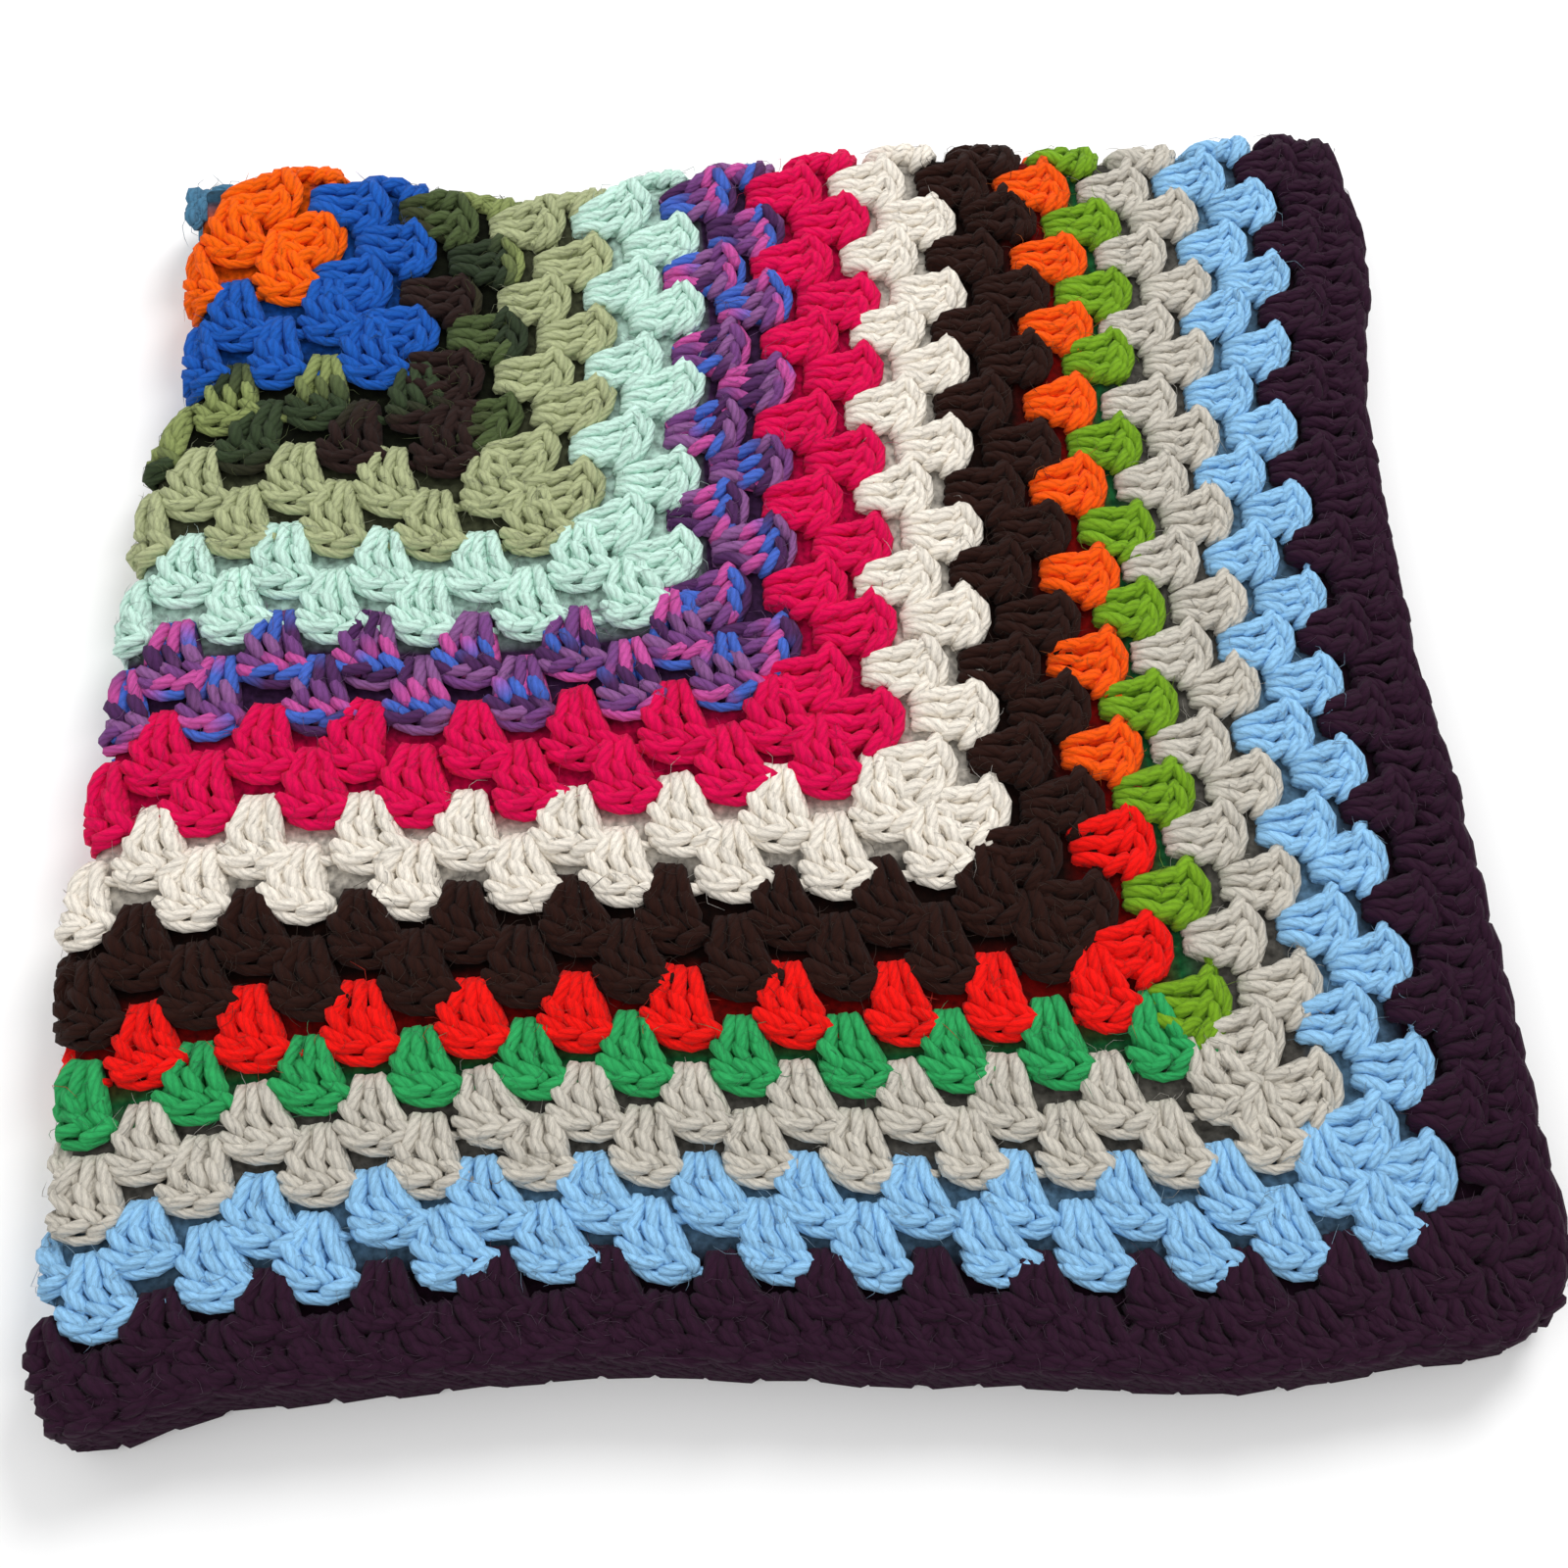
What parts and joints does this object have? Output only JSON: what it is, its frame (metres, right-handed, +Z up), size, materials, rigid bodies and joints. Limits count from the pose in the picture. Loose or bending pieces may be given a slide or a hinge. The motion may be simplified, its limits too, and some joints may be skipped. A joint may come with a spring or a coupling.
{
  "type": "granny square blanket",
  "caption": "Crocheted granny square blanket in bands of bright yarn with a dark purple edge, folded flat into a square pile.",
  "frame": {"origin": "middle of the folded outline, on the surface it rests on", "axes": "+Z up through the pile, -Y towards the loose front edges, +X towards the loose right edges"},
  "size_m": [0.3902, 0.3956, 0.029],
  "materials": {
    "yarn": "matt crocheted acrylic yarn"
  },
  "bodies": {
    "root": {"blanket": "yarn"}
  },
  "joints": []
}
